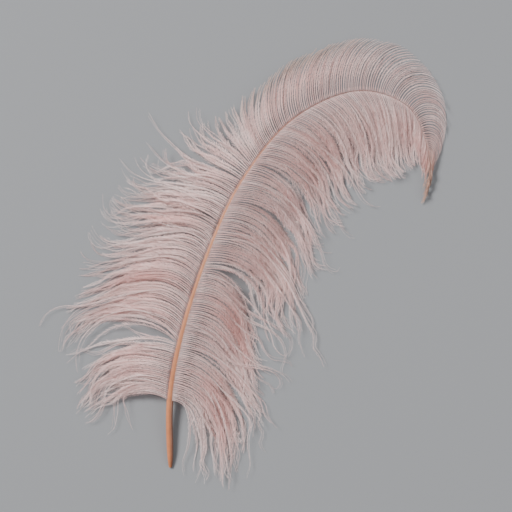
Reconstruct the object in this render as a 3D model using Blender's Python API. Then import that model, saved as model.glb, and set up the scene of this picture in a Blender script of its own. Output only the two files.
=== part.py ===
"""Ostrich wing plume, lying on a table with its shaft uppermost.

One quill carries two vanes of loose barbs. The quill is built at full detail. Each vane is a plain closed
sheet with the outline, the arch and the thickness that its barbs fill, split where the barbs have parted.

Metres, +Z up. The table is z = 0, +Y runs from the quill's bare end towards the crown of the curl, and the
origin is under the middle of the plume's box.
"""

import math

import bmesh
import bpy
import numpy as np
from mathutils import Vector

MM = 0.001

# Plan of the quill's middle line, from the bare end to the curled tip. It is read as a smooth curve.
QUILL_ROUTE_MM = (
    (-75, -204),
    (-75, -136),
    (-64, -74),
    (-36, 13),
    (-4, 81),
    (44, 141),
    (95, 169),
    (128, 172),
    (164, 156),
    (181, 122),
    (186, 97),
    (182, 71),
)
BARE_LENGTH = 68 * MM  # the calamus, below the first barbs
QUILL_WIDTH = 6.8 * MM  # across the calamus
TIP_WIDTH = 0.7 * MM
RACHIS_DEPTH = 0.9  # height of the rachis over its width
GROOVE_DEPTH = 0.22  # of the groove along its underside, as a share of the height
PORE_DIAMETER = 1.3 * MM  # the small hole in the bare end
PORE_DEPTH = 3 * MM
QUILL_STATIONS = 100
QUILL_SIDES = 16

# The quill bows up off the table like a bridge, and its barbs fall from it to the table on both sides.
CROWN_HEIGHT = 23 * MM
TIP_HEIGHT = 6 * MM

# Outer edge of each vane, through the ends of its main locks, as plan points from the bare end to the tip.
OUTER_EDGE_MM = (
    (-79, -133),
    (-103, -127),
    (-118, -133),
    (-112, -172),
    (-136, -172),
    (-175, -161),
    (-178, -142),
    (-158, -128),
    (-181, -108),
    (-166, -97),
    (-144, -95),
    (-118, -78),
    (-97, -75),
    (-76, -79),
    (-97, -66),
    (-136, -68),
    (-161, -76),
    (-188, -114),
    (-199, -104),
    (-181, -80),
    (-207, -68),
    (-190, -49),
    (-168, -42),
    (-170, -24),
    (-166, 10),
    (-156, 38),
    (-146, 64),
    (-126, 102),
    (-99, 126),
    (-92, 149),
    (-60, 134),
    (-46, 152),
    (-20, 164),
    (12, 192),
    (55, 210),
    (98, 226),
    (138, 231),
    (170, 217),
    (190, 192),
    (203, 162),
    (207, 134),
    (203, 108),
    (194, 84),
    (183, 64),
)
INNER_EDGE_MM = (
    (-69, -140),
    (-58, -142),
    (-52, -159),
    (-48, -201),
    (-30, -220),
    (-17, -231),
    (-5, -212),
    (14, -204),
    (25, -191),
    (22, -172),
    (20, -151),
    (38, -124),
    (50, -108),
    (72, -102),
    (68, -68),
    (62, -48),
    (66, -30),
    (77, -10),
    (88, 12),
    (103, 26),
    (116, 46),
    (134, 64),
    (154, 72),
    (158, 88),
    (172, 88),
    (177, 66),
    (180, 62),
)
VANE_THICKNESS = 3.4 * MM  # of the sheet that the barbs fill
LONG_REACH = 80 * MM  # sideways from the quill to where the long barbs come down on the table
SHORT_REACH = 22 * MM  # the same for the short barbs round the curl
PARTING = 0.6 * MM  # clear space between a vane and the quill
SHEET_CELL = 10 * MM
SHEET_MARGIN = 12 * MM

HORN = ((0.56, 0.27, 0.15, 1.0), 0.35)
DOWN = ((0.78, 0.62, 0.60, 1.0), 0.9)


def smooth(share):
    """Ease from 0 to 1 as share goes from 0 to 1, and hold outside that."""
    share = min(1.0, max(0.0, share))
    return share * share * (3 - 2 * share)


def spline_points(route, count):
    """Evenly spaced plan points on a centripetal Catmull-Rom curve through the route."""
    knots = np.array(route, float) * MM
    knots = np.vstack([2 * knots[0] - knots[1], knots, 2 * knots[-1] - knots[-2]])
    dense = []
    for a, b, c, d in zip(knots, knots[1:], knots[2:], knots[3:]):
        times = np.cumsum([0.0] + [math.sqrt(np.linalg.norm(q - p)) for p, q in ((a, b), (b, c), (c, d))])
        for t in np.linspace(times[1], times[2], 24, endpoint=False):
            ab = a + (b - a) * (t - times[0]) / (times[1] - times[0])
            bc = b + (c - b) * (t - times[1]) / (times[2] - times[1])
            cd = c + (d - c) * (t - times[2]) / (times[3] - times[2])
            abc = ab + (bc - ab) * (t - times[0]) / (times[2] - times[0])
            bcd = bc + (cd - bc) * (t - times[1]) / (times[3] - times[1])
            dense.append(abc + (bcd - abc) * (t - times[1]) / (times[2] - times[1]))
    dense = np.array(dense + [knots[-2]])
    along = np.concatenate([[0], np.cumsum(np.linalg.norm(np.diff(dense, axis=0), axis=1))])
    even = np.linspace(0, along[-1], count)
    return np.column_stack([np.interp(even, along, dense[:, 0]), np.interp(even, along, dense[:, 1])]), even


PLAN, ALONG = spline_points(QUILL_ROUTE_MM, QUILL_STATIONS)
QUILL_LENGTH = ALONG[-1]


def quill_width(along):
    """Width of the quill at this distance from its bare end."""
    share = max(0.0, along - BARE_LENGTH) / (QUILL_LENGTH - BARE_LENGTH)
    taper = (1 - share**1.4) ** 2.1
    blunt_end = math.sqrt(1 - (1 - min(1.0, (along + 4 * MM) / (30 * MM))) ** 2)
    return (TIP_WIDTH + (QUILL_WIDTH - TIP_WIDTH) * taper) * blunt_end


def quill_height(along):
    """Height of the quill's middle line above the table. The bare end rests on the table."""
    rest = quill_width(min(along, BARE_LENGTH)) / 2
    share = along / QUILL_LENGTH
    bow = math.sin(math.pi * share**0.85) ** 1.3 * CROWN_HEIGHT
    return rest * (1 - share) + TIP_HEIGHT * smooth(share) + bow


def section(along):
    """One ring of the quill, as (sideways, up) pairs: round on the calamus, boxy and grooved on the rachis."""
    half = quill_width(along) / 2
    rachis = smooth((along - 0.6 * BARE_LENGTH) / BARE_LENGTH)
    power = 2 / (2 + 0.7 * rachis)
    depth = half * (1 + (RACHIS_DEPTH - 1) * rachis)
    ring = []
    for step in range(QUILL_SIDES):
        turn = 2 * math.pi * step / QUILL_SIDES
        c, s = math.cos(turn), math.sin(turn)
        side = math.copysign(abs(c) ** power, c) * half
        up = math.copysign(abs(s) ** power, s) * depth
        if s < 0:
            groove = math.exp(-((c / 0.3) ** 2)) * GROOVE_DEPTH * 2 * depth * rachis
            up += groove
        ring.append((side, up))
    return ring


def frame_at(station):
    """Middle, sideways and upwards directions of the quill at a station."""
    before, after = max(0, station - 1), min(QUILL_STATIONS - 1, station + 1)
    run = PLAN[after] - PLAN[before]
    rise = quill_height(ALONG[after]) - quill_height(ALONG[before])
    forward = Vector((run[0], run[1], rise)).normalized()
    sideways = forward.cross(Vector((0, 0, 1))).normalized()
    middle = Vector((*PLAN[station], quill_height(ALONG[station])))
    return middle, sideways, sideways.cross(forward)


def make_quill():
    """Loft the quill from unlike sections, with the pore in its bare end."""
    bm = bmesh.new()
    rings = []
    middle, sideways, upwards = frame_at(0)
    forward = upwards.cross(sideways)
    pore = PORE_DIAMETER / 2
    for deep, radius in ((PORE_DEPTH, 0.7 * pore), (0.0, pore)):
        rings.append(
            [
                bm.verts.new(middle + forward * deep + (sideways * math.cos(a) + upwards * math.sin(a)) * radius)
                for a in (2 * math.pi * step / QUILL_SIDES for step in range(QUILL_SIDES))
            ]
        )
    for station in range(QUILL_STATIONS):
        middle, sideways, upwards = frame_at(station)
        rings.append([bm.verts.new(middle + sideways * x + upwards * y) for x, y in section(ALONG[station])])
    for near, far in zip(rings, rings[1:]):
        for step in range(QUILL_SIDES):
            after = (step + 1) % QUILL_SIDES
            bm.faces.new((near[step], near[after], far[after], far[step]))
    bm.faces.new(rings[0])
    bm.faces.new(reversed(rings[-1]))
    bmesh.ops.recalc_face_normals(bm, faces=bm.faces)
    mesh = bpy.data.meshes.new("quill")
    bm.to_mesh(mesh)
    bm.free()
    mesh.shade_smooth()
    mesh.set_sharp_from_angle(angle=math.radians(50))
    return bpy.data.objects.new("quill", mesh)


def sheet_top(x, y):
    """Height of a vane's upper face over a plan point: level with the quill beside it, and low at the edge."""
    gaps = np.hypot(PLAN[:, 0] - x, PLAN[:, 1] - y)
    nearest = int(np.argmin(gaps))
    root = quill_height(ALONG[nearest]) + VANE_THICKNESS / 2
    curl = smooth(ALONG[nearest] / QUILL_LENGTH * 1.6 - 0.5)
    fall = smooth(gaps[nearest] / (LONG_REACH + (SHORT_REACH - LONG_REACH) * curl))
    return VANE_THICKNESS + max(0.0, root - VANE_THICKNESS) * (1 - fall)


def make_sheet(name, outline):
    """A sheet of even thickness under sheet_top, wide enough for this outline."""
    low, high = outline.min(0) - SHEET_MARGIN, outline.max(0) + SHEET_MARGIN
    across, up = (int(math.ceil(side / SHEET_CELL)) for side in high - low)
    bm = bmesh.new()
    bmesh.ops.create_grid(bm, x_segments=across, y_segments=up, size=0.5)
    lower = list(bm.verts)
    raised = bmesh.ops.extrude_face_region(bm, geom=list(bm.faces), use_keep_orig=True)
    upper = [v for v in raised["geom"] if isinstance(v, bmesh.types.BMVert)]
    for verts, drop in ((lower, VANE_THICKNESS), (upper, 0.0)):
        for v in verts:
            v.co.x = low[0] + (v.co.x + 0.5) * (high[0] - low[0])
            v.co.y = low[1] + (v.co.y + 0.5) * (high[1] - low[1])
            v.co.z = sheet_top(v.co.x, v.co.y) - drop
    bmesh.ops.recalc_face_normals(bm, faces=bm.faces)
    mesh = bpy.data.meshes.new(name)
    bm.to_mesh(mesh)
    bm.free()
    return bpy.data.objects.new(name, mesh)


def vane_outline(edge_mm, side):
    """Closed plan outline: along the quill on one side, +1 for the left of its run, then back round the edge."""
    start = int(np.searchsorted(ALONG, BARE_LENGTH))
    inner = []
    for station in range(start, QUILL_STATIONS):
        _, sideways, _ = frame_at(station)
        away = quill_width(ALONG[station]) / 2 + PARTING
        inner.append(PLAN[station] - np.array(sideways.xy) * away * side)
    return np.array(inner + [(x * MM, y * MM) for x, y in reversed(edge_mm)])


def make_cutter(name, outline):
    """An upright prism of the outline, taller than the sheets, as a mesh."""
    curve = bpy.data.curves.new(name, "CURVE")
    curve.dimensions = "2D"
    curve.fill_mode = "BOTH"
    curve.extrude = 2 * CROWN_HEIGHT
    spline = curve.splines.new("POLY")
    spline.points.add(len(outline) - 1)
    for point, (x, y) in zip(spline.points, outline):
        point.co = (x, y, 0, 1)
    spline.use_cyclic_u = True
    guide = bpy.data.objects.new(name + "_guide", curve)
    bpy.context.scene.collection.objects.link(guide)
    graph = bpy.context.evaluated_depsgraph_get()
    mesh = bpy.data.meshes.new_from_object(guide.evaluated_get(graph))
    bpy.data.objects.remove(guide)
    bm = bmesh.new()
    bm.from_mesh(mesh)
    bmesh.ops.remove_doubles(bm, verts=bm.verts, dist=0.01 * MM)
    bmesh.ops.recalc_face_normals(bm, faces=bm.faces)
    bm.to_mesh(mesh)
    bm.free()
    cutter = bpy.data.objects.new(name, mesh)
    cutter.hide_render = True
    cutter.display_type = "WIRE"
    return cutter


def make_vane(name, edge_mm, side, parts, cutters):
    """A vane: the arched sheet, trimmed to its outline."""
    outline = vane_outline(edge_mm, side)
    vane = make_sheet(name, outline)
    cutter = make_cutter(name + "_outline", outline)
    parts.objects.link(vane)
    cutters.objects.link(cutter)
    trim = vane.modifiers.new("trim", "BOOLEAN")
    trim.operation = "INTERSECT"
    trim.object = cutter
    return vane


def material(name, finish):
    """A Principled finish from (colour, roughness)."""
    colour, roughness = finish
    made = bpy.data.materials.new(name)
    made.use_nodes = True
    shader = made.node_tree.nodes["Principled BSDF"]
    shader.inputs["Base Color"].default_value = colour
    shader.inputs["Roughness"].default_value = roughness
    made.diffuse_color = colour
    return made


def main():
    """Clear the scene and build the plume."""
    for obj in list(bpy.data.objects):
        bpy.data.objects.remove(obj)
    parts = bpy.data.collections.new("ostrich_feather")
    cutters = bpy.data.collections.new("cutters")
    for collection in (parts, cutters):
        bpy.context.scene.collection.children.link(collection)
    quill = make_quill()
    parts.objects.link(quill)
    quill.data.materials.append(material("horn", HORN))
    down = material("down", DOWN)
    for name, edge_mm, side in (("outer_vane", OUTER_EDGE_MM, 1), ("inner_vane", INNER_EDGE_MM, -1)):
        make_vane(name, edge_mm, side, parts, cutters).data.materials.append(down)


main()
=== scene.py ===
"""The looks of an ostrich wing plume, lying on a pale table with its shaft uppermost.

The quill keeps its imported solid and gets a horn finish. The two vane solids are replaced by their real barbs.
Each barb is a thin tapering fibre that leaves the quill, runs in a lock with its neighbours and comes down on
the table. Along both sides of it stand the soft barbules that make an ostrich plume fluffy.
"""

import logging
import math
from collections.abc import Callable
from dataclasses import dataclass, field, fields
from enum import Enum

import bpy
import numpy as np
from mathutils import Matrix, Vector

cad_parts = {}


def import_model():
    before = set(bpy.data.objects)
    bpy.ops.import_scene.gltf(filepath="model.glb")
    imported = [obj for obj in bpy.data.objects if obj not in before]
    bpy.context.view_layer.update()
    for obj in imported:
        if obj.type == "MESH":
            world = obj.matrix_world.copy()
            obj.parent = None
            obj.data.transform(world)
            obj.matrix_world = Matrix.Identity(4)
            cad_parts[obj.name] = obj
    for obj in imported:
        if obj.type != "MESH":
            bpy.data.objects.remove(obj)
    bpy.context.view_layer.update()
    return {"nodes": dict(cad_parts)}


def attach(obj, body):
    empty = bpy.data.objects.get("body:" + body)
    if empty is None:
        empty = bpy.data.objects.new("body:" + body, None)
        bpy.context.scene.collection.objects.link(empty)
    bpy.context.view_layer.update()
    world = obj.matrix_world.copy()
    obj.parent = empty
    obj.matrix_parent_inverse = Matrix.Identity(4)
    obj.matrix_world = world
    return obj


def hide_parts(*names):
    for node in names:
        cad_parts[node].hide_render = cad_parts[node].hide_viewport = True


logging.basicConfig(level=logging.INFO, format="%(name)s: %(message)s")
LOG = logging.getLogger("plume")

MM = 0.001
BAKE_MAP = "OFBake"
KERATIN_IOR = 1.54
TINY = 1e-12  # added to a length that is divided by, which may be 0

Colour = tuple[float, float, float, float]
Pair = tuple[float, float]
Triple = tuple[float, float, float]
Array = np.ndarray


def linear(hex_colour: str) -> Colour:
    """Turn an sRGB hex colour into linear RGBA.

    Args:
        hex_colour: Six hex digits after a #.

    Returns:
        The linear red, green and blue, and an alpha of 1.
    """
    parts = [int(hex_colour[i : i + 2], 16) / 255 for i in (1, 3, 5)]
    turned = [p / 12.92 if p <= 0.04045 else ((p + 0.055) / 1.055) ** 2.4 for p in parts]
    return (*turned, 1.0)


def smooth(share: Array | float, start: float = 0.0, span: float = 1.0) -> Array | float:
    """Ease from 0 at start to 1 a span later, and hold outside that."""
    held = np.clip((share - start) / span, 0.0, 1.0)
    return held * held * (3 - 2 * held)


def spline_through(knots: Array, samples: int = 24) -> Array:
    """Run a centripetal Catmull-Rom curve through points.

    Args:
        knots: The points, one a row.
        samples: Points on the curve for each span.

    Returns:
        Points on the curve, from the first knot to the last.
    """
    knots = np.vstack([2 * knots[0] - knots[1], knots, 2 * knots[-1] - knots[-2]])
    dense = []
    for a, b, c, d in zip(knots, knots[1:], knots[2:], knots[3:]):
        legs = [math.sqrt(np.linalg.norm(q - p)) for p, q in ((a, b), (b, c), (c, d))]
        t0, t1, t2, t3 = np.cumsum([0.0, *legs])
        for t in np.linspace(t1, t2, samples, endpoint=False):
            ab = a + (b - a) * (t - t0) / (t1 - t0)
            bc = b + (c - b) * (t - t1) / (t2 - t1)
            cd = c + (d - c) * (t - t2) / (t3 - t2)
            abc = ab + (bc - ab) * (t - t0) / (t2 - t0)
            bcd = bc + (cd - bc) * (t - t1) / (t3 - t1)
            dense.append(abc + (bcd - abc) * (t - t1) / (t2 - t1))
    return np.array([*dense, knots[-2]])


def evenly_along(points: Array, places: Array | int) -> tuple[Array, float]:
    """Read a line at even distances.

    Args:
        points: The line's points, one a row.
        places: How many points to read, or the distances to read at.

    Returns:
        The points read, and the line's length.
    """
    run = np.concatenate([[0], np.cumsum(np.linalg.norm(np.diff(points, axis=0), axis=1))])
    at = np.linspace(0, run[-1], places) if isinstance(places, int) else places
    return np.column_stack([np.interp(at, run, points[:, k]) for k in range(points.shape[1])]), float(run[-1])


def add_node(
    tree: bpy.types.NodeTree, kind: str, settings: dict | None = None, links: dict | None = None
) -> bpy.types.Node:
    """Add a shader node with its settings and links.

    Args:
        tree: The node tree that it joins.
        kind: The node's type after ShaderNode, such as TexNoise.
        settings: Properties by name, and input values by socket name or number.
        links: The output that feeds each input, by socket name or number.

    Returns:
        The new node.
    """
    made = tree.nodes.new(f"ShaderNode{kind}")
    for name, value in (settings or {}).items():
        if isinstance(name, str) and name in made.bl_rna.properties:
            setattr(made, name, value)
        else:
            made.inputs[name].default_value = value
    for name, source in (links or {}).items():
        tree.links.new(source, made.inputs[name])
    return made


def set_ramp(ramp: bpy.types.Node, stops: tuple[tuple[float, str], ...]) -> None:
    """Set the colours of a Color Ramp node.

    Args:
        ramp: The node.
        stops: A place from 0 to 1 and a hex colour for each.
    """
    elements = ramp.color_ramp.elements
    while len(elements) > 1:
        elements.remove(elements[-1])
    elements[0].position, elements[0].color = stops[0][0], linear(stops[0][1])
    for place, hex_colour in stops[1:]:
        elements.new(place).color = linear(hex_colour)


def blank_material(name: str) -> tuple[bpy.types.Material, bpy.types.NodeTree]:
    """Make a material whose tree holds nothing yet.

    Args:
        name: The material's name.

    Returns:
        The material and its node tree.
    """
    made = bpy.data.materials.new(name)
    made.use_nodes = True
    made.node_tree.nodes.clear()
    return made, made.node_tree


@dataclass(frozen=True)
class DyedBarbs:
    """Down keratin, dyed pale pink in a vat and steamed.

    The dye takes unevenly: most fibres are a greyed pink, some stay nearly white, and some locks took more
    and are salmon. Natural tan shows where it took least. The fibres are thin enough to pass some light.
    """

    ash: str = "#d3bfbc"
    pale: str = "#f0cdc9"
    cream: str = "#fceae6"
    salmon: str = "#f0b0a5"
    tan: str = "#d2a98d"
    see_through: float = 0.3
    roughness: float = 0.6
    sheen: float = 0.25
    patch_mm: float = 26.0
    patch_strength: float = 0.5

    def make(self) -> bpy.types.Material:
        """Build the material.

        Returns:
            The material.
        """
        made, tree = blank_material("dyed_down")
        place = add_node(tree, "TexCoord").outputs["Object"]
        scale = 1 / (self.patch_mm * MM)
        patches = add_node(tree, "TexNoise", {"Scale": scale, "Detail": 2.0}, {"Vector": place})
        tone = add_node(tree, "Attribute", {"attribute_name": "tone"})
        mixed_tone = add_node(
            tree,
            "Math",
            {"operation": "MULTIPLY_ADD", 1: self.patch_strength},
            {0: patches.outputs[0], 2: tone.outputs["Fac"]},
        )
        fibre = add_node(tree, "ValToRGB", links={0: mixed_tone.outputs[0]})
        set_ramp(fibre, ((0.35, self.ash), (0.6, self.pale), (0.9, self.cream)))
        colour = fibre.outputs[0]
        # On a Mix node set to colours, inputs 6 and 7 are the two colours, and output 2 is the result.
        for amount, tint in (("blush", self.salmon), ("tan", self.tan)):
            taken = add_node(tree, "Attribute", {"attribute_name": amount})
            settings = {"data_type": "RGBA", 7: linear(tint)}
            colour = add_node(tree, "Mix", settings, {0: taken.outputs["Fac"], 6: colour}).outputs[2]
        surface = add_node(
            tree,
            "BsdfPrincipled",
            {
                "Roughness": self.roughness,
                "IOR": KERATIN_IOR,
                "Sheen Weight": self.sheen,
                "Specular IOR Level": 0.3,
            },
            {"Base Color": colour},
        )
        through = add_node(tree, "BsdfTranslucent", links={"Color": colour})
        both = add_node(
            tree, "MixShader", {0: self.see_through}, {1: surface.outputs[0], 2: through.outputs[0]}
        )
        add_node(tree, "OutputMaterial", links={"Surface": both.outputs[0]})
        return made


@dataclass(frozen=True)
class HornQuill:
    """Quill keratin, dyed with the barbs and buffed by handling.

    It takes the dye as a copper orange where it is thick, under a clear gloss. Up the curl it is thin and
    deep brown. Its flank towards the inner vane is painted darker as shade, and its flank towards the key lamp
    lighter as a painted highlight. Fine ridges dull the gloss.
    """

    base: str = "#b86f46"
    middle: str = "#cc8a66"
    thin: str = "#80564a"
    # Painted light: brightness of the flank towards the key lamp, as a painted highlight, and of the flank
    # towards the inner vane, as painted shade.
    lit: float = 1.14
    painted_shade: float = 0.42
    mottle: Pair = (0.86, 1.08)
    mottle_mm: float = 9.0
    # The way that the painted-shade flank faces, and the facings at which the painted highlight and the painted
    # shade are full.
    inner_flank: Triple = (0.9, -0.42, 0.0)
    painted_light_edges: Pair = (-0.3, 0.62)
    ends_mm: Pair = (-210, 175)
    roughness: float = 0.28
    ridge_mm: float = 0.5

    def make(self) -> bpy.types.Material:
        """Build the material. Inputs 1 to 4 of a Map Range node are its From and To limits.

        Returns:
            The material.
        """
        made, tree = blank_material("horn_keratin")
        place = add_node(tree, "TexCoord").outputs["Object"]
        parts = add_node(tree, "SeparateXYZ", links={0: place})
        low, high = self.ends_mm
        up_share = add_node(tree, "MapRange", {1: low * MM, 2: high * MM}, {0: parts.outputs["Y"]})
        run = add_node(tree, "ValToRGB", links={0: up_share.outputs[0]})
        set_ramp(run, ((0.1, self.base), (0.55, self.middle), (0.78, self.middle), (0.95, self.thin)))
        cloud = add_node(
            tree, "TexNoise", {"Scale": 1 / (self.mottle_mm * MM), "Detail": 3.0}, {"Vector": place}
        )
        low, high = self.mottle
        shade = add_node(tree, "MapRange", {1: 0.3, 2: 0.7, 3: low, 4: high}, {0: cloud.outputs[0]})
        # Painted light: by which way the surface faces, the flank towards the inner vane is painted darker as
        # shade and the flank towards the key lamp lighter as a painted highlight.
        normal = add_node(tree, "NewGeometry").outputs["Normal"]
        facing = add_node(tree, "VectorMath", {"operation": "DOT_PRODUCT", 1: self.inner_flank}, {0: normal})
        low, high = self.painted_light_edges
        limits = {1: low, 2: high, 3: self.lit, 4: self.painted_shade}
        flank = add_node(tree, "MapRange", limits, {0: facing.outputs["Value"]})
        factors = {0: shade.outputs[0], 1: flank.outputs[0]}
        value = add_node(tree, "Math", {"operation": "MULTIPLY"}, factors)
        colour = add_node(tree, "HueSaturation", links={"Color": run.outputs[0], "Value": value.outputs[0]})
        ridges = add_node(
            tree, "TexNoise", {"Scale": 1 / (self.ridge_mm * MM), "Detail": 1.0}, {"Vector": place}
        )
        bump = add_node(tree, "Bump", {"Strength": 0.12, "Distance": 0.1 * MM}, {"Height": ridges.outputs[0]})
        surface = add_node(
            tree,
            "BsdfPrincipled",
            {"Roughness": self.roughness, "IOR": KERATIN_IOR, "Coat Weight": 0.4, "Coat Roughness": 0.12},
            {"Base Color": colour.outputs[0], "Normal": bump.outputs[0]},
        )
        add_node(tree, "OutputMaterial", links={"Surface": surface.outputs[0]})
        return made


@dataclass(frozen=True)
class PaperFloor:
    """Matt background paper: pale, even and without shine."""

    colour: str = "#868789"
    roughness: float = 0.9

    def make(self) -> bpy.types.Material:
        """Build the material.

        Returns:
            The material.
        """
        made, tree = blank_material("background_paper")
        settings = {"Base Color": linear(self.colour), "Roughness": self.roughness, "Specular IOR Level": 0.2}
        surface = add_node(tree, "BsdfPrincipled", settings)
        add_node(tree, "OutputMaterial", links={"Surface": surface.outputs[0]})
        return made


@dataclass
class Quill:
    """The shaft, which every barb starts from. Its route is the one that its solid was lofted along."""

    route_mm: tuple[Pair, ...] = (
        (-75, -204),
        (-75, -136),
        (-64, -74),
        (-36, 13),
        (-4, 81),
        (44, 141),
        (95, 169),
        (128, 172),
        (164, 156),
        (181, 122),
        (186, 97),
        (182, 71),
    )
    bare_length: float = 68 * MM
    width: float = 6.8 * MM
    tip_width: float = 0.7 * MM
    taper_powers: Pair = (1.4, 2.1)
    crown_height: float = 23 * MM
    tip_height: float = 6 * MM
    bow_powers: Pair = (0.85, 1.3)
    barb_line: float = 1.35 * MM  # how far in from the shaft's edge the barbs grow
    plan: Array = field(init=False)
    along: Array = field(init=False)

    def __post_init__(self) -> None:
        """Read the route as a smooth curve, with a point every millimetre."""
        curve = spline_through(np.array(self.route_mm, float) * MM)
        _, whole = evenly_along(curve, 2)
        self.along = np.arange(0, whole, MM)
        self.plan, _ = evenly_along(curve, self.along)

    @property
    def length(self) -> float:
        """Length along the shaft."""
        return float(self.along[-1])

    def widths(self, along: Array) -> Array:
        """Read the shaft's width.

        Args:
            along: Distances from the bare end.

        Returns:
            The width at each.
        """
        early, late = self.taper_powers
        share = np.clip(along - self.bare_length, 0, None) / (self.length - self.bare_length)
        return self.tip_width + (self.width - self.tip_width) * np.clip(1 - share**early, 0, None) ** late

    def heights(self, along: Array) -> Array:
        """Read the height of the shaft's middle line above the table.

        Args:
            along: Distances from the bare end.

        Returns:
            The height at each.
        """
        lean, crest = self.bow_powers
        share = np.clip(along / self.length, 0, 1)
        bow = np.sin(math.pi * share**lean).clip(0, None) ** crest * self.crown_height
        return self.width / 2 * (1 - share) + self.tip_height * smooth(share) + bow

    def shoulders(self, along: Array) -> tuple[Array, Array]:
        """Find where barbs grow on the shaft's upper flanks.

        Args:
            along: Distances from the bare end.

        Returns:
            Distances to the side of the middle line, and heights.
        """
        width = self.widths(along)
        away = np.maximum(0.12 * width, width / 2 - self.barb_line)
        rise = 0.45 * width * np.sqrt(1 - (2 * away / width) ** 2)
        return away, self.heights(along) + rise + 0.05 * MM

    def places(self, along: Array) -> Array:
        """Plan points of the middle line."""
        return np.column_stack([np.interp(along, self.along, self.plan[:, k]) for k in (0, 1)])

    def lefts(self, along: Array) -> Array:
        """Find the way across the shaft, to the left of its run.

        Args:
            along: Distances from the bare end.

        Returns:
            A unit plan vector at each.
        """
        run = self.places(along + MM) - self.places(along - MM)
        run /= np.linalg.norm(run, axis=1, keepdims=True)
        return np.column_stack([-run[:, 1], run[:, 0]])

    def dress(self, node: bpy.types.Object) -> None:
        """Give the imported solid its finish.

        Args:
            node: The solid.
        """
        finish = HornQuill().make()
        for slot in node.material_slots:
            slot.material = finish
        LOG.info("quill %.0f mm along its curve", self.length / MM)


class Side(Enum):
    """Which side of the shaft a vane grows on, as the sign of the way to it from the shaft."""

    OUTER = 1
    INNER = -1


@dataclass(frozen=True)
class Lock:
    """One lock of barbs, by its middle barb.

    Attributes:
        root: Where it leaves the shaft, in mm from the bare end.
        length: Its length in mm.
        headings: Its direction in plan at its root, at a third, at two thirds and at its end, in degrees
            from +X.
        curl: Further turn of the last quarter, in degrees.
        gather: How tightly the lock's barbs have drawn together at the end, from 0 to 1.
        lift: Height over its neighbours, in mm.
        blush: How much more dye it took, from 0 to 1.
        split: How sharply the vane parts between it and the next lock, from 0 to 1.
        frizz: How many of its ends hook to one side or the other, from 0 to 1.
    """

    root: float
    length: float
    headings: tuple[float, float, float, float]
    curl: float = 0.0
    gather: float = 0.5
    lift: float = 0.0
    blush: float = 0.1
    split: float = 0.4
    frizz: float = 0.15


@dataclass(frozen=True)
class Wisp:
    """A few barbs that have come loose from their lock.

    Attributes:
        root: Where they leave the shaft, in mm from the bare end.
        route: Plan points that they pass on the way to their end, in mm.
        barbs: How many of them hang together.
    """

    root: float
    route: tuple[Pair, ...]
    barbs: int = 3


OUTER_LOCKS = (
    Lock(68, 110, (146, 184, 213, 215), 0, 0.7, -3, 0.2),
    Lock(80, 110, (156, 176, 206, 228), 20, 0.6, 0, 0.1),
    Lock(94, 106, (160, 179, 220, 258), 10, 0.5, 3, 0.2),
    Lock(108, 110, (161, 178, 216, 233), 0, 0.5, 3, 0.3),
    Lock(121, 116, (158, 185, 214, 192), 0, 0.65, 0, 0.1, 1.0),
    Lock(130, 142, (126, 168, 194, 242), 0, 0.75, -3, 0.0),
    Lock(146, 138, (128, 176, 204, 218), 0, 0.55, 0, 0.4),
    Lock(163, 130, (130, 180, 200, 204), 0, 0.55, -2, 0.3),
    Lock(182, 132, (128, 180, 202, 198), 0, 0.6, 5, 0.6),
    Lock(196, 128, (128, 180, 198, 190), -20, 0.6, 1, 0.1),
    Lock(210, 126, (130, 186, 196, 160), -30, 0.6, 0, 0.2),
    Lock(227, 126, (122, 186, 192, 160), -50, 0.7, -2, 0.0, 1.0),
    Lock(246, 124, (140, 177, 184, 178), -80, 0.75, 3, 0.5),
    Lock(260, 126, (140, 178, 188, 172), -60, 0.6, 0, 0.1),
    Lock(273, 114, (142, 176, 184, 168), -35, 0.65, 0, 0.0),
    Lock(285, 108, (142, 168, 178, 150), -25, 0.6, -1, 0.0, 0.8),
    Lock(296, 84, (148, 165, 152, 135), -10, 0.65, 2, 0.2, 0.8),
    Lock(304, 92, (140, 158, 136, 128), 0, 0.9, 3, 0.3, 0.8),
    Lock(310, 78, (135, 148, 141, 92), 0, 0.8, 0, 0.1, 0.8),
    Lock(315, 70, (130, 145, 122, 90), 0, 0.8, 0, 0.0, 0.8),
    Lock(320, 62, (125, 132, 122, 112), 0, 0.7, 0, 0.0),
    Lock(329, 62, (126, 116, 104, 88), 0, 0.35, 0, 0.1, 0.0),
    Lock(345, 64, (128, 105, 85, 65), 0, 0.15, 0, 0.2, 0.0),
    Lock(375, 68, (115, 92, 76, 50), 0, 0.1, 0, 0.3, 0.0),
    Lock(405, 68, (106, 86, 66, 40), 0, 0.08, 0, 0.3, 0.0),
    Lock(435, 65, (98, 80, 58, 28), 0, 0.05, 0, 0.2, 0.0),
    Lock(462, 63, (90, 68, 40, 4), 0, 0.04, 0, 0.0, 0.0),
    Lock(486, 56, (76, 46, 8, -38), 0, 0.04, 0, 0.0, 0.0),
    Lock(508, 48, (60, 18, -32, -80), 0, 0.04, 0, 0.0, 0.0),
    Lock(524, 39, (44, 0, -54, -94), 0, 0.04, 0, 0.0, 0.0),
    Lock(540, 29, (16, -32, -78, -100), 0, 0.06, 0, 0.1, 0.0),
    Lock(552, 22, (-18, -62, -92, -104), 0, 0.15, 0, 0.3, 0.0),
    Lock(564, 18, (-54, -86, -99, -108), 0, 0.4, 0, 0.5),
    Lock(578, 15, (-84, -96, -102, -108), 0, 0.7, 0, 0.5),
    Lock(590, 13, (-93, -99, -106, -116), 0, 0.8, 0, 0.5),
    Lock(597, 12, (-97, -102, -112, -126), 0, 0.8, 0, 0.5),
)

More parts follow.
